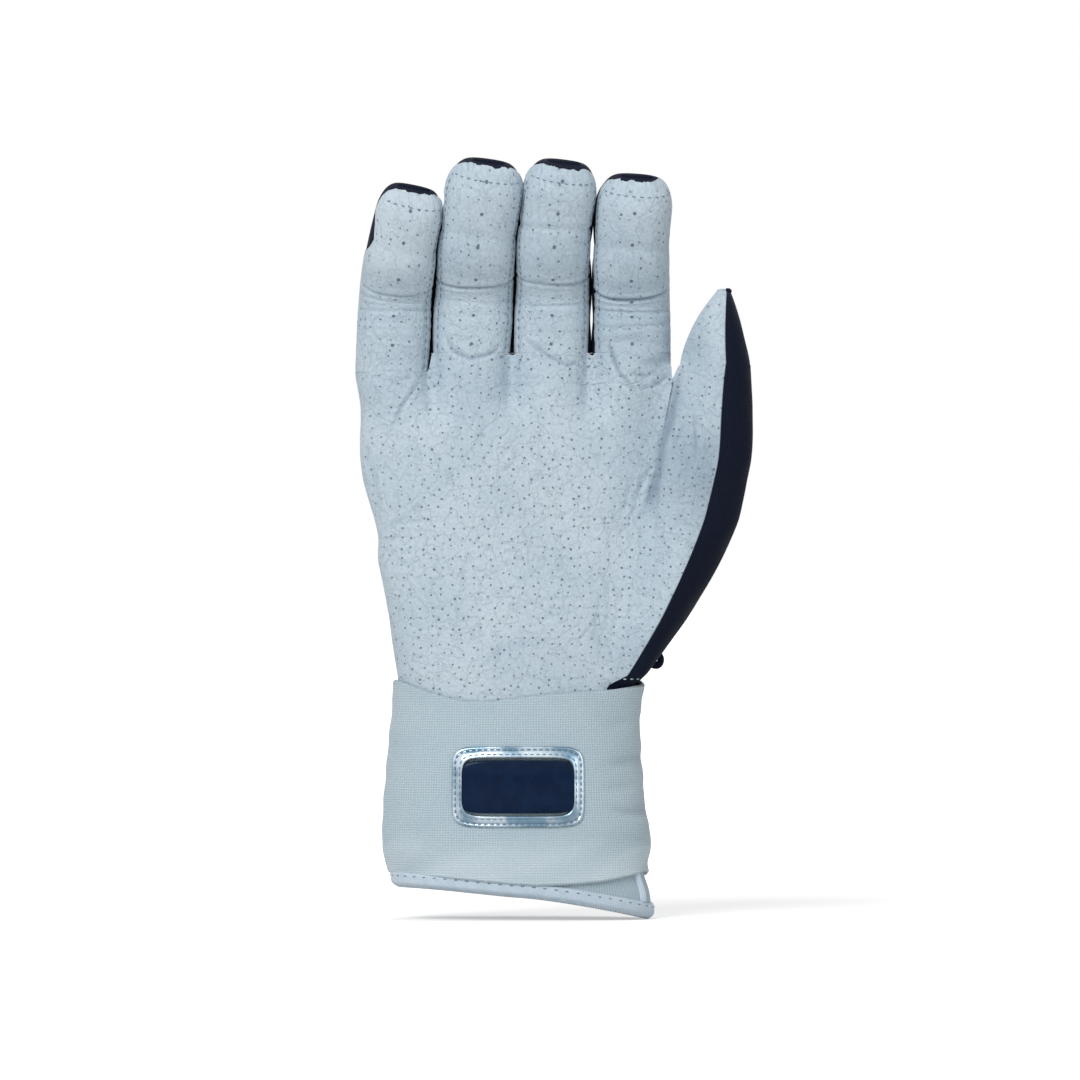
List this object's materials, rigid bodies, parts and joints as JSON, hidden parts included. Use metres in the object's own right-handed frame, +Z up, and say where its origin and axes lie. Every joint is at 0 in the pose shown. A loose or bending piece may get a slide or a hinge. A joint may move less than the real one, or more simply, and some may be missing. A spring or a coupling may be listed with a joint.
{
  "type": "batting glove",
  "caption": "Right-hand batting glove with a perforated leather palm, stretch back, jointed finger and thumb stalls, elastic wrist strap with hook-and-loop tail, and a blank wrist badge.",
  "frame": {"origin": "centre of the wrist mouth, where the hand goes in", "axes": "+Z up from the wrist to the fingertips, palm facing -Y, thumb on the +X side"},
  "size_m": [0.1232, 0.0531, 0.2375],
  "materials": {
    "palm_leather": "pale blue-grey perforated leather",
    "stretch_back": "dark navy stretch fabric",
    "gusset_stretch": "dark navy stretch gusset",
    "knit_elastic": "pale grey-blue ribbed elastic",
    "binding_tape": "pale blue folded binding",
    "silver_vinyl": "mirror-silver embossed vinyl",
    "gloss_navy": "glossy navy, blank",
    "closure_pile": "hook and loop tape"
  },
  "bodies": {
    "hand": {"palm_panel": "palm_leather", "back_panel": "stretch_back", "wrist_cuff": "knit_elastic", "cuff_binding": "binding_tape", "strap_band": "knit_elastic", "loop_pad": "closure_pile", "badge_base": "silver_vinyl", "badge_plate": "gloss_navy", "little_ring_web": "gusset_stretch", "ring_middle_web": "gusset_stretch", "middle_index_web": "gusset_stretch"},
    "strap_tail": {"strap_tail": "knit_elastic", "hook_pad": "closure_pile"},
    "thumb_base": {"thumb_front_base": "palm_leather", "thumb_back_base": "stretch_back", "pull_loop": "stretch_back"},
    "thumb_tip": {"thumb_front_tip": "palm_leather", "thumb_back_tip": "stretch_back"},
    "little_base": {"little_front_base": "palm_leather", "little_back_base": "stretch_back", "little_gusset_right_base": "gusset_stretch"},
    "little_tip": {"little_front_tip": "palm_leather", "little_back_tip": "stretch_back", "little_gusset_right_tip": "gusset_stretch"},
    "ring_base": {"ring_front_base": "palm_leather", "ring_back_base": "stretch_back", "ring_gusset_right_base": "gusset_stretch", "ring_gusset_left_base": "gusset_stretch"},
    "ring_tip": {"ring_front_tip": "palm_leather", "ring_back_tip": "stretch_back", "ring_gusset_right_tip": "gusset_stretch", "ring_gusset_left_tip": "gusset_stretch"},
    "middle_base": {"middle_front_base": "palm_leather", "middle_back_base": "stretch_back", "middle_gusset_right_base": "gusset_stretch", "middle_gusset_left_base": "gusset_stretch"},
    "middle_tip": {"middle_front_tip": "palm_leather", "middle_back_tip": "stretch_back", "middle_gusset_right_tip": "gusset_stretch", "middle_gusset_left_tip": "gusset_stretch"},
    "index_base": {"index_front_base": "palm_leather", "index_back_base": "stretch_back", "index_gusset_left_base": "gusset_stretch"},
    "index_tip": {"index_front_tip": "palm_leather", "index_back_tip": "stretch_back", "index_gusset_left_tip": "gusset_stretch"}
  },
  "joints": [
    {"name": "strap_open", "type": "hinge", "parent": "hand", "child": "strap_tail", "pos_m": [-0.02953, 0.01806, 0.014], "axis": [0.0311, -0.0218, 0.9993], "range_deg": [0, 110]},
    {"name": "thumb_fold", "type": "hinge", "parent": "hand", "child": "thumb_base", "pos_m": [0.03, -0.0145, 0.0753], "axis": [-0.1885, -0.096, -0.9774], "range_deg": [0, 25], "stiffness_Nm_per_rad": 0.04},
    {"name": "thumb_bend", "type": "hinge", "parent": "thumb_base", "child": "thumb_tip", "pos_m": [0.06153, -0.0175, 0.172], "axis": [1, 0, 0], "range_deg": [0, 35], "stiffness_Nm_per_rad": 0.04},
    {"name": "little_base_bend", "type": "hinge", "parent": "hand", "child": "little_base", "pos_m": [-0.0391, -0.0095, 0.17], "axis": [1, 0, 0], "range_deg": [0, 70], "stiffness_Nm_per_rad": 0.04},
    {"name": "little_tip_bend", "type": "hinge", "parent": "little_base", "child": "little_tip", "pos_m": [-0.03827, -0.01189, 0.19067], "axis": [1, 0, 0], "range_deg": [0, 75], "stiffness_Nm_per_rad": 0.04},
    {"name": "ring_base_bend", "type": "hinge", "parent": "hand", "child": "ring_base", "pos_m": [-0.01445, -0.01, 0.176], "axis": [1, 0, 0], "range_deg": [0, 70], "stiffness_Nm_per_rad": 0.04},
    {"name": "ring_tip_bend", "type": "hinge", "parent": "ring_base", "child": "ring_tip", "pos_m": [-0.01341, -0.01171, 0.1921], "axis": [1, 0, 0], "range_deg": [0, 75], "stiffness_Nm_per_rad": 0.04},
    {"name": "middle_base_bend", "type": "hinge", "parent": "hand", "child": "middle_base", "pos_m": [0.01025, -0.01, 0.176], "axis": [1, 0, 0], "range_deg": [0, 70], "stiffness_Nm_per_rad": 0.04},
    {"name": "middle_tip_bend", "type": "hinge", "parent": "middle_base", "child": "middle_tip", "pos_m": [0.01077, -0.01172, 0.19213], "axis": [1, 0, 0], "range_deg": [0, 75], "stiffness_Nm_per_rad": 0.04},
    {"name": "index_base_bend", "type": "hinge", "parent": "hand", "child": "index_base", "pos_m": [0.03545, -0.01, 0.176], "axis": [1, 0, 0], "range_deg": [0, 70], "stiffness_Nm_per_rad": 0.04},
    {"name": "index_tip_bend", "type": "hinge", "parent": "index_base", "child": "index_tip", "pos_m": [0.03529, -0.01144, 0.19004], "axis": [1, 0, 0], "range_deg": [0, 75], "stiffness_Nm_per_rad": 0.04}
  ]
}
